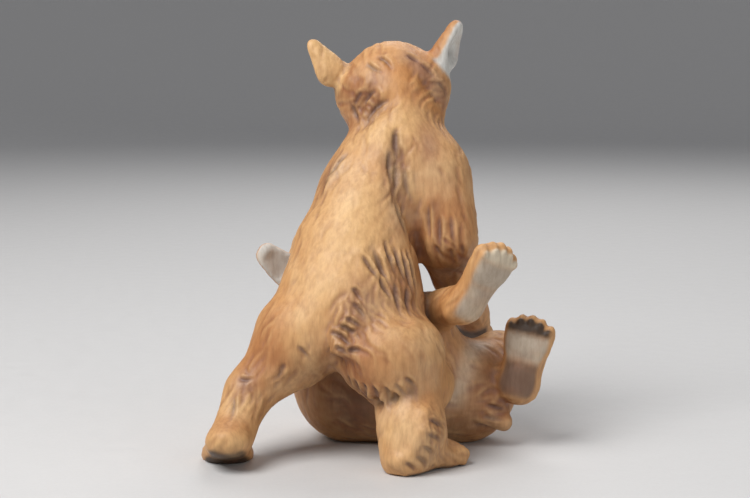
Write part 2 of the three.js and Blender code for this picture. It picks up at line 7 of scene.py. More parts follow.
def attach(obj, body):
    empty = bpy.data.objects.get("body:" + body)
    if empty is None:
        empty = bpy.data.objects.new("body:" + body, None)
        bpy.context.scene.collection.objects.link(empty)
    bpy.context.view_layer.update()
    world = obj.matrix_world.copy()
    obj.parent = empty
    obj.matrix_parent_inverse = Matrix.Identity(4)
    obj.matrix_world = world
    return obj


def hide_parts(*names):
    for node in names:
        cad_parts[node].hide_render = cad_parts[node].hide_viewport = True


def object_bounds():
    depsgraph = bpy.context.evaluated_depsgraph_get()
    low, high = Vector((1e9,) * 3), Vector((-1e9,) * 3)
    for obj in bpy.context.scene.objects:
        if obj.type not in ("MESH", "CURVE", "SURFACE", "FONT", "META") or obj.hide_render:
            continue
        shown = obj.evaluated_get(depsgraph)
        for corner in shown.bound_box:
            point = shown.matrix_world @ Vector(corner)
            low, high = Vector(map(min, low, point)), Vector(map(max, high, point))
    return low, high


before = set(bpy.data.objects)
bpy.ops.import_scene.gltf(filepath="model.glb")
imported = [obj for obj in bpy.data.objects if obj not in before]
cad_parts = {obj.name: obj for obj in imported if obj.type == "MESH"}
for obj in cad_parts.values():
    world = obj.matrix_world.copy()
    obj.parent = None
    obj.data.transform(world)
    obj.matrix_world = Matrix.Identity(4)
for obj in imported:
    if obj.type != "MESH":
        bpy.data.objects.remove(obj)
cadLow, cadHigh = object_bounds()
millimetre = 0.001
modelMiddle = (1.267, -0.14, 0.0)  # the CAD's modelling frame, in mm, seen from its origin
dice = np.random.default_rng(26)
print("frame loaded")


# A point of the modelling frame, in millimetres, as a place in the scene
def at(x, y, z):
    return (Vector((x, y, z)) - Vector(modelMiddle)) * millimetre


def selectOnly(*objects):
    bpy.ops.object.select_all(action="DESELECT")
    for obj in objects:
        obj.select_set(True)
    bpy.context.view_layer.objects.active = objects[0]


def applyPlace(obj):
    selectOnly(obj)
    bpy.ops.object.transform_apply(location=True, rotation=True, scale=True)


def addModifier(obj, kind, **values):
    modifier = obj.modifiers.new(kind.title(), kind)
    for name, value in values.items():
        setattr(modifier, name, value)
    selectOnly(obj)
    bpy.ops.object.modifier_apply(modifier=modifier.name)


# A paint's sRGB numbers, 0 to 255, as the shader's linear ones
def linear(paint):
    shares = np.array(paint) / 255
    return np.where(shares > 0.04, ((shares + 0.055) / 1.055) ** 2.4, shares / 12.92)


# The place and axes of a limb end or a head: to its right, ahead and up
class Spot:
    def __init__(self, place, ahead, top):
        self.place = Vector(place)
        self.ahead = Vector(ahead).normalized()
        self.side = self.ahead.cross(Vector(top)).normalized()
        self.up = self.side.cross(self.ahead)
        self.turn = Matrix((self.side, self.ahead, self.up)).transposed()

    def at(self, side, ahead, up):
        return self.place + self.side * side + self.ahead * ahead + self.up * up

    def seen(self, places):
        return (places - np.array(self.place)) @ np.array(self.turn)


# An egg on a spot's own axes, sizes as half widths in millimetres
def addEgg(spot, offset, size, segments=20):
    bpy.ops.object.select_all(action="DESELECT")
    bpy.ops.mesh.primitive_uv_sphere_add(segments=segments, ring_count=segments // 2, radius=millimetre)
    egg = bpy.context.object
    place = Matrix.Translation(at(*spot.at(*offset)))
    egg.matrix_world = place @ spot.turn.to_4x4() @ Matrix.Diagonal((*size, 1))
    applyPlace(egg)
    return egg


# A lock or claw: a cone with a rounded root and a fine tip, flattened along a direction
def addTaper(start, end, rootSize, tipSize, flat=1.0, across=(0, 1, 0)):
    start = Vector(start)
    end = Vector(end)
    along = (end - start).normalized()
    bpy.ops.object.select_all(action="DESELECT")
    bpy.ops.mesh.primitive_cone_add(
        vertices=14,
        radius1=rootSize * millimetre,
        radius2=tipSize * millimetre,
        depth=(end - start).length * millimetre,
    )
    taper = bpy.context.object
    bpy.ops.object.mode_set(mode="EDIT")
    bpy.ops.mesh.select_all(action="SELECT")
    bpy.ops.mesh.bevel(offset=rootSize * 0.3 * millimetre, segments=2)
    bpy.ops.object.mode_set(mode="OBJECT")
    side = along.cross(Vector(across)).normalized()
    turn = Matrix((side, along.cross(side), along)).transposed()
    place = Matrix.Translation(at(*((start + end) / 2)))
    taper.matrix_world = place @ turn.to_4x4() @ Matrix.Diagonal((1, flat, 1, 1))
    applyPlace(taper)
    return taper


# Where the limbs end and where the heads are, as the CAD has them
hindFeet = {
    "standing": Spot((8, -32, 3.4), (0.74, 0.67, 0), (0, 0, 1)),
    "braced": Spot((-39.2, -32.2, 8.2), (-0.08, 0.92, -0.4), (0, 0.4, 1)),
    "nearRaised": Spot((24.6, -15.5, 42), (0.48, -0.12, 0.87), (-0.5, 0.82, 0.28)),
    "farRaised": Spot((40.2, -8, 18), (0.2, 0.06, 0.97), (0.28, 0.95, -0.1)),
}
forePaws = {
    "right": Spot((28.5, 22, 33), (0.05, 0.72, -0.66), (0.2, 0.6, 0.8)),
    "left": Spot((-20, 23.5, 53.5), (-0.45, 0.3, -0.84), (-0.8, 0.2, 0.55)),
    "lowRight": Spot((-18.6, 7.6, 32), (0.05, -0.12, 0.98), (-0.5, 0.85, 0.1)),
    "lowLeft": Spot((6.8, 19, 47), (0, -0.45, 0.9), (0.1, 0.85, 0.4)),
}
heads = {
    "rearing": Spot((5, 17, 101), (0.12, 0.87, -0.4), (-0.12, 0.4, 0.9)),
    "lying": Spot((-12.5, 22, 39), (0.5, 0.5, 0.7), (-0.75, -0.05, 0.65)),
}
ears = {
    "rearingLeft": {"root": (-11.2, 15.5, 103), "tip": (-19, 16, 114), "open": (-0.42, 0.84, -0.3)},
    "rearingRight": {"root": (19.2, 16, 107.2), "tip": (24, 16.6, 119.6), "open": (0.82, -0.5, -0.2)},
    "lyingRight": {"root": (-23.5, 14.5, 45.5), "tip": (-33.8, 10.5, 54.6), "open": (0.35, -0.9, 0.1)},
    "lyingLeft": {"root": (-21.5, 29.5, 42), "tip": (-27.5, 39, 47), "open": (0.5, 0.35, 0.8)},
}

# The camera stands where the photographer did
cameraValues = {"place": (0, -445.8, 115), "tiltDown": 7.6, "lens": 76.8, "sensor": 36.0}
bpy.ops.object.camera_add(
    location=at(*cameraValues["place"]),
    rotation=(math.radians(90 - cameraValues["tiltDown"]), 0, 0),
)
camera = bpy.context.object
camera.data.lens = cameraValues["lens"]
camera.data.sensor_width = cameraValues["sensor"]
camera.data.clip_start = 0.01
bpy.context.scene.camera = camera

# The group's body: the CAD's solid, rounded
groupValues = {
    "voxel": 0.00045,
    "roundings": 2,
    "easing": 3,
    "triangles": 194000,
}
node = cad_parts["bear_cubs"]
group = bpy.data.objects.new("cub_group", node.data.copy())
bpy.context.collection.objects.link(group)
selectOnly(group)
bpy.ops.object.mode_set(mode="EDIT")
bpy.ops.mesh.select_all(action="SELECT")
bpy.ops.mesh.remove_doubles(threshold=0.00001)
bpy.ops.object.mode_set(mode="OBJECT")
addModifier(group, "SUBSURF", levels=groupValues["roundings"], render_levels=groupValues["roundings"])
print("body rounded:", len(group.data.polygons), "faces")

# Toes, pads and claws
footValues = {
    "toeSize": (1.7, 3.0, 2.3),
    "toeApart": 2.75,
    "toeAhead": 17.6,
    "ballPad": (5.4, 3.3, 1.2),
    "heelPad": (3.2, 4.6, 1.0),
    "toePad": (1.2, 1.5, 0.8),
}
pawValues = {
    "toeSize": (1.6, 2.8, 2.2),
    "toeApart": 2.55,
    "toeAhead": 9.1,
    "claw": (0.75, 0.3),
}
forms = []
for spot in hindFeet.values():
    for toe in range(-2, 3):
        side = toe * footValues["toeApart"]
        reach = footValues["toeAhead"] - 0.5 * toe * toe
        forms.append(addEgg(spot, (side, reach, -0.6), footValues["toeSize"]))
        forms.append(addEgg(spot, (side, reach + 0.4, -2.6), footValues["toePad"], 12))
    forms.append(addEgg(spot, (0, 11.6, -3.1), footValues["ballPad"]))
    forms.append(addEgg(spot, (0, 2.6, -3.1), footValues["heelPad"]))
for spot in forePaws.values():
    for toe in range(-2, 3):
        side = toe * pawValues["toeApart"]
        reach = pawValues["toeAhead"] - 0.42 * toe * toe
        forms.append(addEgg(spot, (side, reach, -0.6), pawValues["toeSize"]))
        root = spot.at(side * 1.03, reach + 1.6, 0.7)
        tip = spot.at(side * 1.06, reach + 3.6, -0.6)
        forms.append(addTaper(root, tip, *pawValues["claw"]))

# Nose and lids
faceValues = {
    "nose": (2.9, 1.9, 2.0),
    "upperLid": (2.0, 1.5, 0.7),
    "lowerLid": (1.7, 1.2, 0.5),
}
for spot in heads.values():
    forms.append(addEgg(spot, (0, 23.2, -2.7), faceValues["nose"]))
    for side in (-1, 1):
        forms.append(addEgg(spot, (side * 5.7, 12.4, 3.1), faceValues["upperLid"]))
        forms.append(addEgg(spot, (side * 5.7, 12.6, 0.1), faceValues["lowerLid"]))

selectOnly(group, *forms)
bpy.ops.object.join()
group = bpy.context.object
group.data.remesh_voxel_size = groupValues["voxel"]
group.data.remesh_voxel_adaptivity = 0
bpy.ops.object.voxel_remesh()
addModifier(group, "SMOOTH", factor=0.5, iterations=groupValues["easing"])
print("forms joined:", len(group.data.polygons), "faces")

# The underside is ground flat
selectOnly(group)
bpy.ops.object.mode_set(mode="EDIT")
bpy.ops.mesh.select_all(action="SELECT")
bpy.ops.mesh.bisect(plane_co=(0, 0, 0), plane_no=(0, 0, 1), clear_inner=True, use_fill=True)
bpy.ops.object.mode_set(mode="OBJECT")


# A mesh as numbers: the places in millimetres in the modelling frame, the way out and who is next to whom
class Skin:
    def __init__(self, obj):
        mesh = obj.data
        count = len(mesh.vertices)
        numbers = np.empty(count * 3, dtype=np.float32)
        mesh.vertices.foreach_get("co", numbers)
        self.places = numbers.reshape(-1, 3) / millimetre + np.array(modelMiddle)
        mesh.vertex_normals.foreach_get("vector", numbers)
        self.out = numbers.reshape(-1, 3).astype(float)
        ends = np.empty(len(mesh.edges) * 2, dtype=np.int32)
        mesh.edges.foreach_get("vertices", ends)
        self.ends = ends.reshape(-1, 2)
        self.count = count
        self.met = np.maximum(np.bincount(ends, minlength=count), 1)
        self.tree = kdtree.KDTree(count)
        for n, place in enumerate(self.places):
            self.tree.insert(place, n)
        self.tree.balance()

    # Values evened out with the neighbours' ones
    def eased(self, values, times, share=0.6):
        values = np.asarray(values, dtype=float)
        columns = values.reshape(self.count, -1)
        first, second = self.ends.T
        for _ in range(times):
            sums = np.empty_like(columns)
            for n in range(columns.shape[1]):
                sums[:, n] = np.bincount(first, columns[second, n], self.count)
                sums[:, n] += np.bincount(second, columns[first, n], self.count)
            columns = columns * (1 - share) + sums / self.met[:, None] * share
        return columns.reshape(values.shape)

    def nearest(self, places):
        return np.array([self.tree.find(place)[1] for place in places])

    # Directions laid flat on the skin
    def laid(self, ways, index=slice(None)):
        out = self.out[index]
        flat = ways - out * (ways * out).sum(1)[:, None]
        return flat / np.maximum(np.linalg.norm(flat, axis=1), 1e-6)[:, None]


# How far places are from a line through points, and the line's direction there
def besideLine(places, points):
    points = np.array(points, dtype=float)
    least = np.full(len(places), 1e9)
    way = np.zeros((len(places), 3))
    for start, end in zip(points[:-1], points[1:]):
        along = end - start
        share = np.clip((places - start) @ along / (along @ along), 0, 1)
        gone = np.linalg.norm(places - start - share[:, None] * along, axis=1)
        closer = gone < least
        least[closer] = gone[closer]
        way[closer] = along / np.linalg.norm(along)
    return least, way


# A soft-edged share from 0 to 1 between two limits
def between(values, low, high):
    share = np.clip((values - low) / (high - low), 0, 1)
    return share * share * (3 - 2 * share)


# The lie of the fur, as lines that it follows from the head to the tail and down the limbs
furLines = {
    "spine": [(5, 14, 113), (6, 3, 96), (5, -5, 84), (2, -11, 70), (-3, -18, 55), (-8, -27, 40)],
    "leftSide": [(-7, 10, 90), (-12, 0, 75), (-20, -8, 57), (-28, -14, 42)],
    "leftLeg": [(-22, -20, 42), (-31, -24, 26), (-38, -28, 13), (-39, -32, 5)],
    "leftRump": [(-12, -24, 50), (-18, -28, 38), (-17, -24, 27)],
    "rightSide": [(10, -6, 70), (9, -18, 54), (12, -24, 44)],
    "haunch": [(-5, -30, 44), (4, -36, 34), (8, -36, 24), (11, -38, 12), (13, -37, 4)],
    "haunchSide": [(8, -26, 44), (17, -26, 34), (19, -20, 22), (17, -24, 10)],
    "rightArm": [(14, -2, 90), (20, -7, 74), (22, -9, 60), (24, 4, 50), (29, 20, 37)],
    "rightArmFront": [(16, 14, 82), (24, 10, 66), (25, 16, 48)],
    "leftArm": [(-8, 14, 80), (-14, 22, 66), (-20, 26, 56)],
    "chest": [(6, 24, 90), (3, 20, 76), (-3, 12, 60), (-8, 4, 48)],
    "lowBack": [(-16, 0, 24), (0, -10, 10), (18, -8, 8), (36, -2, 10)],
    "lowFront": [(-14, 20, 20), (4, 16, 12), (24, 16, 12), (38, 8, 14)],
    "lowBelly": [(-8, 12, 36), (6, 8, 32), (22, 6, 30), (34, 4, 22)],
    "nearLeg": [(16, -6, 26), (14, -6, 38), (21, -13, 43), (27, -14, 52)],
    "farLeg": [(34, 4, 26), (37, 0, 24), (41, -6, 18), (43, -4, 32)],
    "lowRightArm": [(-12, 0, 24), (-19, 3, 20), (-20, 5, 32)],
    "lowLeftArm": [(-4, 24, 26), (8, 29, 32), (8, 22, 46)],
}
for spot in heads.values():
    furLines["crown" + str(len(furLines))] = [spot.at(0, 22, 0), spot.at(0, 8, 10), spot.at(0, -8, 11)]
    furLines["chin" + str(len(furLines))] = [spot.at(0, 18, -11), spot.at(0, 2, -15)]
    for side in (-1, 1):
        cheek = [spot.at(side * 4, 18, -3), spot.at(side * 13, 3, -4), spot.at(side * 11, -7, -9)]
        furLines["cheek" + str(len(furLines))] = cheek
for spot in (*hindFeet.values(), *forePaws.values()):
    furLines["instep" + str(len(furLines))] = [spot.at(0, -2, 4), spot.at(0, 16, 3)]


def lieOfFur(skin):
    total = np.zeros((skin.count, 3))
    for line in furLines.values():
        gone, way = besideLine(skin.places, line)
        total += way / (gone[:, None] ** 2 + 3) ** 2
    return skin.laid(skin.eased(skin.laid(total), 12))


# Strokes of a carving tool: a row for each point on each stroke's way
class Strokes:
    def __init__(self):
        self.rows = []

    # Runs that follow the fur from many starts
    def grow(self, skin, lie, starts, lengths, widths, depths, sway=0.0, step=0.5):
        here = skin.places[starts]
        turn = dice.normal(0, sway, len(starts))
        count = int(np.ceil(lengths.max() / step))
        for n in range(count):
            share = n * step / lengths
            live = share < 1
            index = skin.nearest(here)
            ways = lie[index]
            sides = np.cross(skin.out[index], ways)
            bend = np.sin(share * math.pi * 1.5) * turn
            ways = skin.laid(ways + sides * bend[:, None], index)
            self.note(skin, index, here, ways, share, widths, depths, live)
            here = here + ways * step
            index = skin.nearest(here)
            off = ((here - skin.places[index]) * skin.out[index]).sum(1)
            here = here - skin.out[index] * off[:, None]

    # One stroke through given points
    def draw(self, skin, points, width, depth, step=0.4):
        points = np.array(points, dtype=float)
        if len(points) == 3:
            t = np.linspace(0, 1, 24)[:, None]
            points = (1 - t) ** 2 * points[0] + 2 * t * (1 - t) * points[1] + t ** 2 * points[2]
        lengths = np.concatenate([[0], np.cumsum(np.linalg.norm(np.diff(points, axis=0), axis=1))])
        gone = np.arange(0, lengths[-1], step)
        here = np.stack([np.interp(gone, lengths, points[:, n]) for n in range(3)], axis=1)
        index = skin.nearest(here)
        off = ((here - skin.places[index]) * skin.out[index]).sum(1)
        here = here - skin.out[index] * off[:, None]
        ways = skin.laid(np.gradient(here, axis=0), index)
        size = np.ones(len(here))
        self.note(skin, index, here, ways, gone / lengths[-1], size * width, size * depth, size > 0)

    def note(self, skin, index, here, ways, share, widths, depths, live):
        swell = np.clip(np.minimum(share / 0.25, (1.02 - share) / 0.55), 0, 1) ** 0.7
        side = np.cross(skin.out[index], ways)
        row = np.column_stack([here, ways, side, widths * (0.55 + 0.45 * swell), depths * swell])
        self.rows.append(row[live])

    # How deep every point of the skin is pressed, and how far it is raised beside a stroke
    def pressed(self, skin, step=0.5):
        rows = np.concatenate(self.rows)
        owners = []
        touched = []
        for n, row in enumerate(rows):
            found = skin.tree.find_range(row[:3], row[9] * 2.8)
            touched.extend([item[1] for item in found])
            owners.extend([n] * len(found))
        touched = np.array(touched)
        row = rows[np.array(owners)]
        off = skin.places[touched] - row[:, :3]
        along = np.abs((off * row[:, 3:6]).sum(1))
        across = (off * row[:, 6:9]).sum(1) / row[:, 9]
        window = 1 - between(along, step * 0.7, step * 1.6)
        groove = np.zeros(skin.count)
        lip = np.zeros(skin.count)
        np.maximum.at(groove, touched, row[:, 10] * np.exp(-across ** 2) * window)
        np.maximum.at(lip, touched, row[:, 10] * np.exp(-((across - 1.45) / 0.75) ** 2) * window)
        return groove, lip


body = Skin(group)
lie = lieOfFur(body)
print("lie of the fur found:", body.count, "points")


# Where something is, as a share that fades out over a reach
def near(places, spot, reach):
    reach = np.array(reach, dtype=float)
    return np.exp(-(((places - np.array(spot, dtype=float)) / reach) ** 2).sum(1))


# Bare places: soles, noses and ear hollows
def bareShares(places):
    soles = np.zeros(len(places))
    noses = np.zeros(len(places))
    for spot in hindFeet.values():
        side, ahead, up = spot.seen(places).T
        within = (1 - between(np.abs(side), 6.6, 7.6)) * between(ahead, -4, -1) * (1 - between(ahead, 21, 23))
        soles = np.maximum(soles, within * (1 - between(up, -2.4, -1.5)) * between(up, -7, -6))
    for spot in forePaws.values():
        side, ahead, up = spot.seen(places).T
        within = (1 - between(np.abs(side), 6, 7)) * between(ahead, -1, 2) * (1 - between(ahead, 13, 14))
        soles = np.maximum(soles, within * (1 - between(up, -2.2, -1.3)) * between(up, -6, -5))
    for spot in heads.values():
        noses = np.maximum(noses, near(spot.seen(places), (0, 23.4, -2.7), (3.4, 2.6, 2.6)))
    return soles, noses


def earHollows(places, out):
    share = np.zeros(len(places))
    for ear in ears.values():
        open_ = Vector(ear["open"]).normalized()
        gone, _ = besideLine(places, [ear["root"], ear["tip"]])
        share = np.maximum(share, (1 - between(gone, 4.6, 6)) * between(out @ np.array(open_), 0.15, 0.5))
    return share


soles, noses = bareShares(body.places)
bare = np.clip(soles + noses * 2 + earHollows(body.places, body.out), 0, 1)

# How strongly the coat is carved, from place to place: where, how wide and how much
coatValues = {
    "hairs": 5200,
    "hairLength": (3.0, 7.0),
    "hairWidth": (0.34, 0.5),
    "hairDepth": 0.10,
    "locks": 900,
    "lockLength": (5.0, 10.0),
    "lockWidth": (0.6, 0.95),
    "lockDepth": 0.34,
}
carvedPlaces = [
    ((6, -22, 52), (7, 7, 9), 1.0),
    ((-6, -28, 43), (6, 6, 7), 1.0),
    ((-9, -29, 34), (5, 6, 5), 0.9),
    ((-3, -29, 22), (10, 6, 4), 0.8),
    ((14, -35, 10), (5, 6, 9), 0.9),
    ((20, -8, 60), (6, 6, 8), 0.7),
    ((7, -8, 78), (4, 6, 11), 0.8),
    ((-3, 5, 97), (8, 6, 7), 0.8),
    ((17, 9, 101), (6, 6, 8), 0.7),
    ((-13, -3, 76), (6, 6, 7), 0.6),
    ((-34, -24, 22), (5, 6, 6), 0.6),
    ((-27, -20, 26), (6, 6, 5), 0.6),
    ((32, -8, 11), (8, 7, 6), 0.7),
    ((24, -14, 42), (5, 5, 5), 0.4),
    ((4, 24, 88), (12, 8, 12), 0.6),
    ((-2, 14, 64), (12, 8, 14), 0.5),
    ((10, 12, 14), (26, 8, 10), 0.5),
    ((-10, 8, 22), (12, 10, 10), 0.5),
    ((27, 14, 44), (6, 8, 12), 0.5),
]
smoothPlaces = [
    ((-8, -17, 66), (9, 9, 12), 0.8),
    ((-14, -22, 50), (9, 9, 9), 0.6),
    ((10, -36, 30), (8, 6, 8), 0.4),
]
carving = np.full(body.count, 0.22)
for spot, reach, share in carvedPlaces:
    carving = np.maximum(carving, near(body.places, spot, reach) * share)
for spot, reach, share in smoothPlaces:
    carving *= 1 - near(body.places, spot, reach) * share
carving *= 1 - bare

# The carver's own strokes, each through two or three points
handStrokes = {
    "tail tuft": {
        "width": 0.8,
        "depth": 0.9,
        "ways": [
            [(-8, -29.5, 41), (-5.5, -30.5, 40.6), (-3.4, -30.3, 38.5)],
            [(-6, -28.7, 45.2), (-4, -29.4, 44), (-2.4, -29.5, 41)],
            [(-11, -27, 36.5), (-8.5, -30, 36.3), (-6, -32.3, 34)],
            [(-11, -26.3, 33), (-9, -30, 33), (-6.6, -32.2, 31.4)],
            [(-7.4, -32.6, 33), (-5.5, -32.3, 33.6), (-3.9, -32, 33)],
            [(-6, -26.4, 48.6), (-4.5, -27.5, 48), (-3.4, -28.2, 45.7)],
            [(-9.5, -28, 38.8), (-7, -31, 38.6), (-4.6, -32, 36.4)],
        ],
    },
    "leg fringe": {
        "width": 0.75,
        "depth": 0.8,
        "ways": [
            [(13.9, -36, 15), (16.5, -34.5, 14), (18.2, -32.8, 11.6)],
            [(13.3, -37.3, 11.7), (15.8, -36, 11), (17.4, -34.3, 8.8)],
            [(12.3, -37.6, 8.5), (14.5, -36.6, 7.6), (15.5, -35, 5.4)],
            [(10.7, -38, 6), (12.8, -36.8, 4.6), (13.7, -35, 2.4)],
            [(8, -38.4, 4.4), (9.8, -38, 3.4), (10.5, -37, 1.6)],
        ],
    },
    "haunch edge": {
        "width": 0.7,
        "depth": 0.7,
        "ways": [
            [(-8, -29, 25), (-7.4, -28.6, 23), (-7.8, -27, 20.5)],
            [(-5.6, -30, 24.5), (-4.8, -29.5, 22), (-5.2, -27.6, 19.4)],
            [(-3, -31, 24), (-2, -30.4, 21.5), (-2.2, -28.6, 18.8)],
            [(-0.4, -31.8, 23.5), (0.8, -31.4, 21.4), (0.8, -29.6, 18.6)],
            [(2.6, -32.6, 23.6), (3.8, -32.2, 21.6), (4, -31, 19.4)],
            [(5.4, -33.4, 24.4), (6.6, -33, 22.8), (7.6, -32, 21)],
            [(8, -33.8, 26), (9.6, -33.6, 24.4), (10.8, -32.8, 23)],
        ],
    },
    "flank": {
        "width": 0.8,
        "depth": 0.85,
        "ways": [
            [(3.5, -18.2, 60.4), (4.2, -20, 56), (6.2, -21.8, 50.6)],
            [(5.7, -17.7, 59), (6.4, -19, 54), (8.9, -20.7, 48.5)],
            [(7.8, -16.9, 57.5), (8.4, -18.6, 52), (10.5, -21, 44.5)],
            [(0, -20.6, 58), (1.4, -22, 54), (4, -23.7, 49)],
            [(-3.5, -21.7, 56.8), (-1.6, -23, 54), (1.3, -24.2, 50.4)],
            [(5.4, -22.4, 50), (5.8, -24.4, 46), (7.2, -26.7, 41.4)],
            [(8.9, -20.7, 48.5), (9, -23, 45), (9.9, -25.3, 41)],
            [(2, -24, 52), (2.8, -25, 49), (4.8, -25.6, 45)],
            [(10.2, -15.4, 58), (11, -17, 53), (12.4, -19.4, 47)],
        ],
    },
    "elbow": {
        "width": 0.75,
        "depth": 0.6,
        "ways": [
            [(14.6, -8.3, 68.8), (14.2, -9, 64), (15.1, -9.3, 59.3)],
            [(17.8, -9.4, 66.2), (17.6, -10, 61), (18.4, -10.1, 56.6)],
            [(21, -9.3, 66.2), (21, -10, 61), (22, -10.1, 56)],
            [(16.8, -10, 58), (17.4, -10, 56), (19, -9.3, 54.3)],
            [(20.6, -10.6, 57.2), (21, -9.8, 55), (22, -8, 53)],
            [(23.9, -10, 58.2), (24.3, -9.4, 56), (24.6, -8, 54.6)],
        ],
    },
    "shoulder": {
        "width": 0.8,
        "depth": 0.6,
        "ways": [
            [(-7.8, -2.8, 83), (-10.4, -3.2, 80.6), (-11.6, -4.6, 76.5)],
            [(-9.7, -3.7, 79.5), (-12.4, -3.8, 77.4), (-13.5, -5.2, 74)],
            [(-12, -4.6, 76), (-14, -5.2, 73), (-14.6, -7, 69.6)],
        ],
    },
    "cheeks and ruff": {
        "width": 0.8,
        "depth": 0.65,
        "ways": [
            [(-3.4, 5.7, 99.3), (-5.6, 6.4, 97.6), (-5.6, 7.5, 94.7)],
            [(-6.5, 8.3, 95.8), (-6.4, 5.6, 93), (-5, 3, 90.4)],
            [(3.6, 1.4, 97.2), (-0.4, 2.6, 95.4), (-3.6, 1.4, 90.5)],
            [(0.4, 3.6, 99.6), (-2.6, 5, 98.4), (-4, 4.8, 94.6)],
            [(9, 8.3, 109.3), (11.4, 7.8, 109), (12.7, 8, 107)],
            [(12.7, 8, 107), (15.8, 7.6, 105.6), (16.9, 8.2, 102)],
            [(16.9, 8.2, 102), (19.4, 9, 101), (20.2, 11, 97.4)],
            [(0.8, 8, 108.7), (3.4, 6.4, 108.4), (4.8, 4.5, 105.4)],
            [(-2.4, 8.4, 107.4), (-0.4, 6.4, 105), (2.2, 4.8, 104.8)],
        ],
    },
    "spine": {
        "width": 1.0,
        "depth": 0.8,
        "ways": [
            [(5.8, -3.6, 89.7), (5.4, -5.8, 85.4), (6, -7.5, 81.2)],
            [(6, -7.5, 81.2), (6, -9.6, 76.4), (7.4, -10.8, 71.6)],
            [(7.4, -10.8, 71.6), (8, -12, 66), (10, -12.9, 60.8)],
            [(4.2, -7, 84), (4.8, -9, 80), (5.8, -11, 75)],
            [(8, -7.4, 79), (8.6, -9, 74), (10.4, -9.4, 69)],
        ],
    },
    "legs": {
        "width": 0.8,
        "depth": 0.6,
        "ways": [
            [(-37, -25, 24.6), (-35, -26, 23.4), (-32.6, -25, 23.8)],
            [(-38, -27.6, 20), (-37.6, -30, 17), (-38.4, -32, 14.4)],
            [(-20.6, -27, 33), (-18.6, -27.6, 31), (-17, -26.4, 28.6)],
            [(-24, -24, 28), (-25.4, -23.4, 25.4), (-27.6, -22.6, 24)],
            [(31, -9.6, 12.6), (34, -8.6, 12.4), (37, -6.6, 10.4)],
            [(30, -9.2, 9.4), (33, -8.4, 9), (35.6, -6.8, 7.4)],
            [(28, -9, 6.4), (31, -8, 6), (33.6, -6.4, 5)],
        ],
    },
}

# Fine hairs, broader locks and the listed strokes are pressed in
area = 1.0 / body.met
hairStarts = dice.choice(body.count, coatValues["hairs"], p=(1.0 - bare + 1e-4) / (1.0 - bare + 1e-4).sum())
hairs = Strokes()
hairs.grow(
    body,
    lie,
    hairStarts,
    dice.uniform(*coatValues["hairLength"], len(hairStarts)),
    dice.uniform(*coatValues["hairWidth"], len(hairStarts)),
    coatValues["hairDepth"] * (0.5 + carving[hairStarts]),
    sway=0.35,
)
lockChance = carving ** 2 + 1e-4
lockStarts = dice.choice(body.count, coatValues["locks"], p=lockChance / lockChance.sum())
locks = Strokes()
locks.grow(
    body,
    lie,
    lockStarts,
    dice.uniform(*coatValues["lockLength"], len(lockStarts)),
    dice.uniform(*coatValues["lockWidth"], len(lockStarts)),
    coatValues["lockDepth"] * (0.35 + carving[lockStarts]),
    sway=0.55,
)
byHand = Strokes()
for strokes in handStrokes.values():
    for way in strokes["ways"]:
        byHand.draw(body, way, strokes["width"], strokes["depth"])
hairGroove, hairLip = hairs.pressed(body)
lockGroove, lockLip = locks.pressed(body)
handGroove, handLip = byHand.pressed(body)
print("strokes:", len(hairStarts), "hairs,", len(lockStarts), "locks")

# The soles, noses and ear hollows and the skin by the ground stay as they are, so only the coat moves
relief = lockLip * 0.55 + handLip * 0.5 - hairGroove - np.maximum(lockGroove, handGroove)
relief = body.eased(relief, 1, 0.4)
ground = between(body.places[:, 2], 0.2, 1.2)
pushed = body.places + body.out * (relief * (1 - bare) * ground)[:, None]
lowest = np.array(cadLow) / millimetre + modelMiddle
highest = np.array(cadHigh) / millimetre + modelMiddle
pushed = np.clip(pushed, lowest, highest)
final = (pushed - np.array(modelMiddle)) * millimetre
group.data.vertices.foreach_set("co", final.astype(np.float32).ravel())
group.data.update()
print("coat carved")

# Slimmer where the skin is plain, and the underside kept flat
addModifier(group, "TRIANGULATE")
slimming = groupValues["triangles"] / len(group.data.polygons)
addModifier(group, "DECIMATE", ratio=slimming)
print("body slimmed:", len(group.data.polygons), "triangles")

skin = Skin(group)
sourceTree = kdtree.KDTree(body.count)
for n, place in enumerate(pushed):
    sourceTree.insert(place, n)
sourceTree.balance()
source = np.array([sourceTree.find(place)[1] for place in skin.places])
hairShare = np.clip(hairGroove[source] / 0.1, 0, 1)
lockShare = np.clip(lockGroove[source] / 0.3, 0, 1)
handShare = np.clip(handGroove[source] / 0.6, 0, 1)
lipShare = np.clip(np.maximum(lockLip[source] / 0.3, handLip[source] / 0.6), 0, 1)


# How hollow the skin is at a breadth: over 0 in creases, under 0 on ridges
def hollowness(skin, times):
    return ((skin.eased(skin.places, times) - skin.places) * skin.out).sum(1)


fineHollow = hollowness(skin, 4)
broadHollow = hollowness(skin, 40)

# Glazes, as sRGB, and where they are laid: the cubs' own colours, and in some places below painted light and shade
glazes = {
    "honey": (206, 154, 100),
    "gold": (226, 184, 128),
    "amber": (196, 130, 70),
    "sienna": (162, 98, 52),
    "chestnut": (122, 72, 42),
    "umber": (62, 36, 22),
    # mauve: the purple-grey sheen that shaded surfaces show, laid as a painted reflection and highlight wherever it
    # is used
    "mauveSheen": (146, 112, 104),
    "cream": (216, 202, 178),
    "tan": (190, 146, 100),
    "earWhite": (214, 215, 210),
    "padGrey": (186, 172, 154),
    "padBrown": (104, 82, 70),
    "padDark": (48, 36, 28),
    "noseBlack": (36, 30, 28),
}
paint = np.tile(linear(glazes["honey"]), (skin.count, 1))


def lay(glazeAndPaintedLight, share, strength=1.0):
    share = np.clip(share * strength, 0, 1)[:, None]
    paint[:] = paint * (1 - share) + linear(glazes[glazeAndPaintedLight]) * share


def alongLine(points, reach):
    gone, _ = besideLine(skin.places, points)
    return np.exp(-(gone / reach) ** 2)


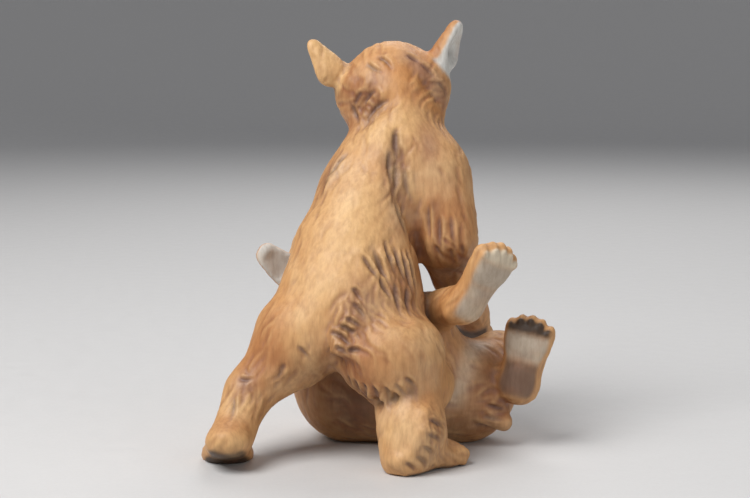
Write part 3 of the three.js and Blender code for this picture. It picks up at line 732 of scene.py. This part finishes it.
# Broad areas: where, how far they reach and how strongly
areas = [
    ("amber", (6, 8, 106), (13, 12, 10), 0.55),
    ("amber", (-24, -16, 34), (12, 12, 12), 0.45),
    # Painted highlights where the light falls: the gold on the left flank, the back, the left rump edge, the tops of
    # the left leg and foot and the haunch top
    ("gold", (-6, -14, 70), (9, 8, 10), 0.8),
    ("gold", (-9, -20, 58), (10, 8, 9), 0.75),
    ("gold", (-15, -24, 47), (8, 8, 8), 0.55),
    ("gold", (1, -3, 88), (7, 7, 5), 0.75),
    ("gold", (9, -1, 93), (6, 5, 4), 0.6),
    ("gold", (-20, -27, 34), (3, 5, 8), 0.5),
    ("gold", (-37, -29, 17), (4, 6, 5), 0.75),
    ("gold", (-37, -36, 9.5), (6, 5, 3), 0.6),
    ("gold", (3, -27, 43), (7, 5, 5), 0.4),
    ("gold", (5, -36, 14), (6, 5, 7), 0.6),
    ("tan", (19, -7, 76), (7, 6, 8), 0.6),
    ("tan", (10, -34, 34), (8, 6, 8), 0.6),
    ("chestnut", (-6, 8, 97), (6, 6, 5), 0.85),
    ("chestnut", (-2, 3, 94.5), (5, 4, 3), 0.7),
    ("sienna", (-8, 11, 103), (5, 6, 6), 0.7),
    ("sienna", (-7, 8, 90), (4, 5, 4), 0.6),
    # Painted shadow under the rearing cub's left ear
    ("umber", (-12, 13, 101), (3, 4, 3), 0.7),
    # Mauve on the cheek and both shoulders: a painted sheen in shade
    ("mauveSheen", (0, 4, 103), (4, 3, 3), 0.45),
    ("mauveSheen", (15, -4, 85), (3, 4, 6), 0.45),
    ("chestnut", (-13, -2, 77), (4, 4, 6), 0.5),
    ("mauveSheen", (-11, -3, 78), (3, 4, 4), 0.3),
    ("sienna", (22, -8, 67), (6, 5, 8), 0.6),
    ("chestnut", (20, -10, 56), (7, 5, 4), 0.65),
    # Painted shade under the right elbow
    ("umber", (22, -7, 51), (7, 7, 3), 0.85),
    ("sienna", (-3, -32, 28), (9, 6, 8), 0.85),
    ("chestnut", (-7, -30, 26), (4, 5, 6), 0.4),
    ("sienna", (14, -32, 24), (5, 6, 8), 0.35),
    # Mauve on the lower right leg: a painted highlight; the next mauve, on the flank by the tail, a painted sheen
    ("mauveSheen", (1, -34, 17), (3, 4, 3), 0.5),
    ("mauveSheen", (-3, -27, 45), (5, 4, 5), 0.4),
    ("sienna", (-29, -23, 33), (7, 7, 8), 0.6),
    ("sienna", (-33, -24, 26), (6, 6, 5), 0.5),
    # Mauve in the crease behind the left knee: a painted highlight
    ("mauveSheen", (-35, -25, 22.5), (3, 3, 2), 0.6),
    ("sienna", (-39, -33, 12.5), (5, 5, 3), 0.6),
    # Painted shade in the crotch between the rearing cub's hind legs
    ("umber", (-16, -20, 26), (9, 9, 5), 0.5),
    ("sienna", (14, -28, 3), (9, 9, 4), 0.35),
    # Umber on the lying cub's low body between the legs and by the ground: painted shade over its own reddish brown
    ("umber", (-7, -9, 12), (14, 9, 13), 0.95),
    ("umber", (20, -10, 6), (16, 6, 5), 0.6),
    # Amber on the lying cub's rump at the far left: painted light where it is lit
    ("amber", (-21, -3, 11), (6, 6, 8), 0.6),
    ("chestnut", (33, -7, 11), (9, 6, 8), 0.8),
    # Mauve on the lying cub's inner thigh: a painted highlight
    ("mauveSheen", (23, -8, 21), (4, 4, 5), 0.5),
    # Umber in the gap by the far raised foot, under the right arm and on the near knee: painted shade
    ("umber", (31, -8, 20), (5, 5, 6), 0.6),
    ("umber", (24, 6, 48), (6, 9, 8), 0.7),
    ("umber", (13, -10, 38), (6, 8, 9), 0.7),
    ("amber", (22, -17, 45), (6, 6, 8), 0.6),
    ("cream", (6, 24, 84), (8, 6, 8), 0.45),
    ("cream", (4, 12, 30), (14, 10, 6), 0.5),
]
paintedLines = [
    ("amber", [(7, 4, 106), (10, 3, 102), (19, 6, 94)], 3.6, 0.75),
    # Mauve along the right cheek ruff: a painted sheen in shade
    ("mauveSheen", [(9, 8, 109), (17, 7.5, 103), (20, 10, 96)], 2.6, 0.6),
    ("chestnut", [(14, 7, 104), (19.5, 9, 97)], 1.6, 0.5),
    # Chestnut in the groove between the right arm and the body: dark paint, partly painted shade
    ("chestnut", [(16, -9, 69), (17, -10, 63), (18, -10, 58)], 1.9, 0.75),
    ("chestnut", [(9.5, -9, 69), (12, -7, 62), (12.5, -5, 55)], 2.6, 0.8),
    # Down the spine crease: dark brown, partly painted shade, with a painted mauve sheen beside it
    ("umber", [(6, -5, 85), (7, -10, 74), (10, -12, 63)], 2.2, 0.55),
    ("mauveSheen", [(5, -8, 82), (6, -11, 72), (8, -14, 64)], 3.6, 0.35),
    ("chestnut", [(10, -17, 54), (11, -21, 47), (12, -24, 41)], 2.4, 0.6),
    # Umber under the overhanging lower edge of the haunch: a painted shadow
    ("umber", [(-7, -28, 20.5), (-1, -29, 19), (5, -31, 19), (10, -32, 21.5)], 2.2, 0.85),
    # Umber in the crevice below the tail: painted shade
    ("umber", [(-9, -27, 38), (-10, -28, 31)], 2.4, 0.5),
    ("cream", [(30, 0, 29), (26, -5, 25), (22, -11, 15)], 2.8, 0.9),
]
for glazeAndPaintedLight, spot, reach, strength in areas:
    lay(glazeAndPaintedLight, near(skin.places, spot, reach) ** 0.8, strength)
for glazeAndPaintedLight, points, reach, strength in paintedLines:
    lay(glazeAndPaintedLight, alongLine(points, reach), strength)

# The cub that lies below, in the rearing cub's shade, is darkened with sienna: painted shade, full on the near side
# and fading towards the far side
lowCub = [(-8, 10, 20), (8, 4, 15), (26, 4, 14)]
lay("sienna", alongLine(lowCub, 18) * between(-skin.places[:, 1], -40, 0), 0.4)

# Faces: tan muzzles with pale chins, dark eye rims and mouths
for spot in heads.values():
    local = spot.seen(skin.places)
    lay("sienna", near(local, (0, 8, 6), (12, 9, 8)), 0.45)
    lay("tan", near(local, (0, 18, -4), (6, 7, 6)), 0.8)
    lay("cream", near(local, (0, 15, -11), (5, 7, 3)), 0.7)
    for side in (-1, 1):
        lay("umber", near(local, (side * 5.8, 12.6, 1.6), (2.6, 2.4, 1.9)), 0.95)
        lay("gold", near(local, (side * 5, 12.6, 5), (2.4, 2, 1.2)), 0.5)
    lay("umber", near(local, (0, 18.5, -7.4), (7, 7, 0.9)), 0.9)

# Ears, soles, claws and noses
for name, ear in ears.items():
    gone, _ = besideLine(skin.places, [ear["root"], ear["tip"]])
    shell = 1 - between(gone, 4.8, 6.5)
    facing = skin.out @ np.array(Vector(ear["open"]).normalized())
    # The rearing cub's left ear, on the lit side, gets a gold back as painted light; the other ears a sienna back
    back = "gold" if name == "rearingLeft" else "sienna"
    lay(back, shell * between(-facing, -0.4, 0.2), 0.75)
    lay("earWhite", shell * between(facing, 0.25, 0.6), 0.95)
    rim = near(skin.places, ear["tip"], (2.4, 2.4, 2.4))
    lay("sienna", rim * between(np.abs(facing), 1, 0.4), 0.4)
# Hind sole pads, heel to toes: grey on the lit near raised foot; the dark pads of the braced and far raised feet are
# partly painted shade
soleGlazesAndShade = {
    "standing": ("padBrown", "padBrown", "padBrown"),
    "braced": ("padDark", "padDark", "padBrown"),
    "nearRaised": ("padGrey", "padGrey", "cream"),
    "farRaised": ("padBrown", "padGrey", "padDark"),
}
for name, spot in hindFeet.items():
    heel, middle, toe = soleGlazesAndShade[name]
    side, ahead, up = spot.seen(skin.places).T
    sole = (1 - between(np.abs(side), 5.4, 7)) * (1 - between(up, -3, -2)) * between(up, -7, -6)
    lay(heel, sole * between(ahead, -4, -2) * (1 - between(ahead, 6, 9)), 0.9)
    lay(middle, sole * between(ahead, 6, 9) * (1 - between(ahead, 14, 16)), 0.95)
    lay(toe, sole * between(ahead, 14, 16) * (1 - between(ahead, 20, 22)), 0.95)
for spot in forePaws.values():
    side, ahead, up = spot.seen(skin.places).T
    sole = (1 - between(np.abs(side), 5, 6.4)) * (1 - between(up, -2.6, -1.6)) * between(up, -6, -5)
    lay("padDark", sole * between(ahead, 0, 3) * (1 - between(ahead, 12, 13)), 0.85)
    for toe in range(-2, 3):
        reach = pawValues["toeAhead"] - 0.42 * toe * toe
        place = (toe * pawValues["toeApart"] * 1.05, reach + 3.2, -0.2)
        lay("padDark", near(spot.seen(skin.places), place, (0.8, 1.6, 0.9)), 0.9)
for spot in heads.values():
    lay("noseBlack", near(spot.seen(skin.places), (0, 23.8, -2.4), (3.2, 2.0, 2.4)) * 1.6, 1)

# Washes: darker in the carved strokes, partly dark paint and partly painted shade; painted mauve sheen in fine
# creases, painted shade in broad creases and painted highlights on the ridges
coat = 1 - np.clip(bareShares(skin.places)[0] + earHollows(skin.places, skin.out), 0, 1)
lay("sienna", hairShare * coat, 0.3)
lay("chestnut", lockShare * coat, 0.5)
lay("umber", handShare ** 1.5 * coat, 0.75)
# Painted highlight on the raised lips beside the strokes
lay("gold", lipShare * coat * (1 - lockShare), 0.28)
# Painted mauve sheen in the fine creases
lay("mauveSheen", between(fineHollow, 0.02, 0.1) * coat, 0.3)
# Painted shade in the broad creases
lay("umber", between(broadHollow, 0.25, 1.1), 0.55)
# Painted highlight on the broad ridges
lay("gold", between(-broadHollow, 0.1, 0.5) * coat, 0.2)
paint = np.clip(skin.eased(paint, 1, 0.3), 0, 1)
print("glazes laid")


def writeValues(name, kind, values):
    layer = group.data.attributes.new(name, kind, "POINT")
    field = "color" if kind == "FLOAT_COLOR" else "value"
    layer.data.foreach_set(field, values.astype(np.float32).ravel())


# The glazes, with the painted light and shade in them, go to the mesh as one colour per point
writeValues("glazeAndPaintedLight", "FLOAT_COLOR", np.column_stack([paint, np.ones(skin.count)]))
writeValues("hollow", "FLOAT", between(fineHollow, -0.05, 0.15))
writeValues("hairs", "FLOAT", np.clip(0.6 * hairShare + 0.4 * lockShare, 0, 1) * coat)
writeValues("coat", "FLOAT", coat)


# Node groups that the painted pieces share
def newGroup(name, inputs, outputs):
    tree = bpy.data.node_groups.new(name, "ShaderNodeTree")
    for label, kind in inputs:
        tree.interface.new_socket(name=label, in_out="INPUT", socket_type="NodeSocket" + kind)
    for label, kind in outputs:
        tree.interface.new_socket(name=label, in_out="OUTPUT", socket_type="NodeSocket" + kind)
    return tree, tree.nodes.new("NodeGroupInput"), tree.nodes.new("NodeGroupOutput")


def addNode(tree, kind, **values):
    made = tree.nodes.new("ShaderNode" + kind)
    for name, value in values.items():
        if name in made.inputs:
            made.inputs[name].default_value = value
        else:
            setattr(made, name, value)
    return made


def mixColours(tree, share, first, second, way="MIX"):
    mix = addNode(tree, "Mix", data_type="RGBA", blend_type=way)
    for socket, source in ((mix.inputs[0], share), (mix.inputs[6], first), (mix.inputs[7], second)):
        if isinstance(source, (float, tuple)):
            socket.default_value = source
        else:
            tree.links.new(source, socket)
    return mix.outputs[2]


def noiseOf(tree, scale, detail, roughness=0.55, stretch=(1, 1, 1)):
    place = addNode(tree, "TexCoord")
    frameOf = addNode(tree, "Mapping")
    frameOf.inputs["Scale"].default_value = stretch
    tree.links.new(place.outputs["Object"], frameOf.inputs["Vector"])
    noise = addNode(tree, "TexNoise", Scale=scale, Detail=detail, Roughness=roughness)
    tree.links.new(frameOf.outputs["Vector"], noise.inputs["Vector"])
    return noise.outputs["Fac"]


def spread(tree, source, low, high, least=0.0, most=1.0):
    span = addNode(tree, "MapRange")
    tree.links.new(source, span.inputs["Value"])
    for name, value in (("From Min", low), ("From Max", high), ("To Min", least), ("To Max", most)):
        span.inputs[name].default_value = value
    return span.outputs["Result"]


def scaled(tree, share, amount):
    times = addNode(tree, "Math", operation="MULTIPLY")
    tree.links.new(share, times.inputs[0])
    tree.links.new(amount, times.inputs[1])
    return times.outputs[0]


# Airbrushed mottling: the glaze turns lighter and redder in soft patches of two sizes
mottling, into, outOf = newGroup(
    "airbrushedMottling",
    [("Glaze", "Color"), ("Light", "Float"), ("Warm", "Float")],
    [("Glaze", "Color")],
)
lightPatches = scaled(mottling, spread(mottling, noiseOf(mottling, 75, 3), 0.5, 0.72), into.outputs["Light"])
lighter = mixColours(mottling, lightPatches, into.outputs["Glaze"], (0.84, 0.58, 0.32, 1))
warmPatches = scaled(mottling, spread(mottling, noiseOf(mottling, 130, 4), 0.52, 0.75), into.outputs["Warm"])
warmer = mixColours(mottling, warmPatches, lighter, (0.34, 0.12, 0.04, 1))
mottling.links.new(warmer, outOf.inputs["Glaze"])

# Fine brush marks and specks, as a colour and as a height for the bump
brushwork, into, outOf = newGroup(
    "brushMarks",
    [("Glaze", "Color"), ("Marks", "Float"), ("Hairs", "Float")],
    [("Glaze", "Color"), ("Height", "Float"), ("Roughness", "Float")],
)
upright = noiseOf(brushwork, 900, 3, 0.6, (1, 1, 0.18))
slanted = noiseOf(brushwork, 700, 2, 0.5, (1, 0.3, 0.5))
markShare = scaled(brushwork, spread(brushwork, upright, 0.4, 0.7), into.outputs["Marks"])
marked = mixColours(brushwork, markShare, into.outputs["Glaze"], (0.45, 0.36, 0.30, 1), "MULTIPLY")
brushwork.links.new(marked, outOf.inputs["Glaze"])
height = addNode(brushwork, "Math", operation="ADD")
brushwork.links.new(scaled(brushwork, spread(brushwork, slanted, 0.3, 0.7), into.outputs["Marks"]), height.inputs[0])
lowered = addNode(brushwork, "Math", operation="MULTIPLY")
lowered.inputs[1].default_value = -0.8
brushwork.links.new(into.outputs["Hairs"], lowered.inputs[0])
brushwork.links.new(lowered.outputs[0], height.inputs[1])
brushwork.links.new(height.outputs[0], outOf.inputs["Height"])
brushwork.links.new(spread(brushwork, noiseOf(brushwork, 160, 3), 0.3, 0.7, 0.48, 0.66), outOf.inputs["Roughness"])


def placeGroup(tree, grouped, **values):
    placed = tree.nodes.new("ShaderNodeGroup")
    placed.node_tree = grouped
    for name, value in values.items():
        placed.inputs[name].default_value = value
    return placed


# The cubs' paint on matte porcelain
porcelainValues = {"light": 0.35, "warm": 0.3, "marks": 0.35, "bump": 0.35, "bumpReach": 0.00025}
porcelain = bpy.data.materials.new("painted_bisque")
porcelain.use_nodes = True
tree = porcelain.node_tree
shader = tree.nodes["Principled BSDF"]
shader.inputs["Specular IOR Level"].default_value = 0.42
shader.inputs["Coat Roughness"].default_value = 0.42
shader.inputs["Coat Weight"].default_value = 0.08
glazeAndLightSource = addNode(tree, "Attribute", attribute_name="glazeAndPaintedLight")
hairSource = addNode(tree, "Attribute", attribute_name="hairs")
mottled = placeGroup(tree, mottling, Light=porcelainValues["light"], Warm=porcelainValues["warm"])
tree.links.new(glazeAndLightSource.outputs["Color"], mottled.inputs["Glaze"])
brushed = placeGroup(tree, brushwork, Marks=porcelainValues["marks"])
tree.links.new(mottled.outputs["Glaze"], brushed.inputs["Glaze"])
tree.links.new(hairSource.outputs["Fac"], brushed.inputs["Hairs"])
bump = addNode(tree, "Bump", Strength=porcelainValues["bump"], Distance=porcelainValues["bumpReach"])
tree.links.new(brushed.outputs["Height"], bump.inputs["Height"])
tree.links.new(brushed.outputs["Glaze"], shader.inputs["Base Color"])
tree.links.new(brushed.outputs["Roughness"], shader.inputs["Roughness"])
tree.links.new(bump.outputs["Normal"], shader.inputs["Normal"])
group.data.materials.clear()
group.data.materials.append(porcelain)
selectOnly(group)
bpy.ops.object.shade_smooth_by_angle(angle=math.radians(60))

# Eyes: dark glazed beads in the sockets
eyeValues = {"size": (1.65, 1.6, 1.6), "place": (5.6, 12.2, 1.55)}
eyeGlaze = bpy.data.materials.new("eye_glaze")
eyeGlaze.use_nodes = True
tree = eyeGlaze.node_tree
shader = tree.nodes["Principled BSDF"]
shader.inputs["Roughness"].default_value = 0.14
shader.inputs["Coat Weight"].default_value = 0.6
shader.inputs["Coat Roughness"].default_value = 0.06
mottled = placeGroup(tree, mottling, Glaze=(0.012, 0.008, 0.006, 1), Light=0.02, Warm=0.2)
tree.links.new(mottled.outputs["Glaze"], shader.inputs["Base Color"])
for name, spot in heads.items():
    beads = []
    for side in (-1, 1):
        across, ahead, up = eyeValues["place"]
        beads.append(addEgg(spot, (side * across, ahead, up), eyeValues["size"], 28))
    selectOnly(*beads)
    bpy.ops.object.join()
    eyes = bpy.context.object
    eyes.name = name + "_cub_eyes"
    eyes.data.materials.append(eyeGlaze)
    bpy.ops.object.shade_smooth()
    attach(eyes, "root")
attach(group, "root")
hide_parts("bear_cubs")
print("cubs painted")

# A pale studio bowl: flat where the group stands, curving up all round
stageValues = {"flat": 1.3, "rise": 0.9, "steps": 14}
bpy.ops.object.select_all(action="DESELECT")
bpy.ops.mesh.primitive_circle_add(vertices=96, radius=stageValues["flat"], fill_type="NGON")
floor = bpy.context.object
floor.name = "studio_floor"
bpy.ops.object.mode_set(mode="EDIT")
bpy.ops.mesh.select_mode(type="EDGE")
bpy.ops.mesh.select_all(action="SELECT")
radius = stageValues["flat"]
turnStep = math.pi / 2 / stageValues["steps"]
bpy.ops.mesh.select_non_manifold()
for step in range(stageValues["steps"]):
    turn = (step + 0.5) * turnStep
    length = stageValues["rise"] * turnStep
    grown = radius + length * math.cos(turn)
    bpy.ops.mesh.extrude_edges_move(TRANSFORM_OT_translate={"value": (0, 0, length * math.sin(turn))})
    bpy.ops.transform.resize(value=(grown / radius, grown / radius, 1), center_override=(0, 0, 0))
    radius = grown
bpy.ops.object.mode_set(mode="OBJECT")
bpy.ops.object.shade_smooth()
floorPaint = bpy.data.materials.new("pale_floor")
floorPaint.use_nodes = True
tree = floorPaint.node_tree
shader = tree.nodes["Principled BSDF"]
shader.inputs["Specular IOR Level"].default_value = 0.2
mottled = placeGroup(tree, mottling, Glaze=(0.62, 0.61, 0.60, 1), Light=0.0, Warm=0.0)
brushed = placeGroup(tree, brushwork, Marks=0.04)
tree.links.new(mottled.outputs["Glaze"], brushed.inputs["Glaze"])
tree.links.new(brushed.outputs["Glaze"], shader.inputs["Base Color"])
tree.links.new(brushed.outputs["Roughness"], shader.inputs["Roughness"])
floor.data.materials.append(floorPaint)

# Soft studio light: a broad lamp above on the left, a weak one on the right and one behind
lampValues = {
    "key": {"place": (-0.42, -0.38, 0.75), "size": 0.55, "power": 9},
    "fill": {"place": (0.7, -0.55, 0.35), "size": 0.7, "power": 1.5},
    "back": {"place": (0.15, 0.6, 0.7), "size": 0.6, "power": 3},
}
for name, lampValue in lampValues.items():
    bpy.ops.object.light_add(type="AREA", location=lampValue["place"])
    lamp = bpy.context.object
    lamp.name = name + "_lamp"
    lamp.data.size = lampValue["size"]
    lamp.data.energy = lampValue["power"]
    lamp.rotation_euler = (Vector((0, 0, 0.06)) - lamp.location).to_track_quat("-Z", "Y").to_euler()
bpy.context.scene.view_settings.view_transform = "Standard"
world = bpy.data.worlds.new("studio")
world.use_nodes = True
world.node_tree.nodes["Background"].inputs["Color"].default_value = (0.9, 0.93, 1.0, 1)
world.node_tree.nodes["Background"].inputs["Strength"].default_value = 0.22
bpy.context.scene.world = world
print("studio lit")
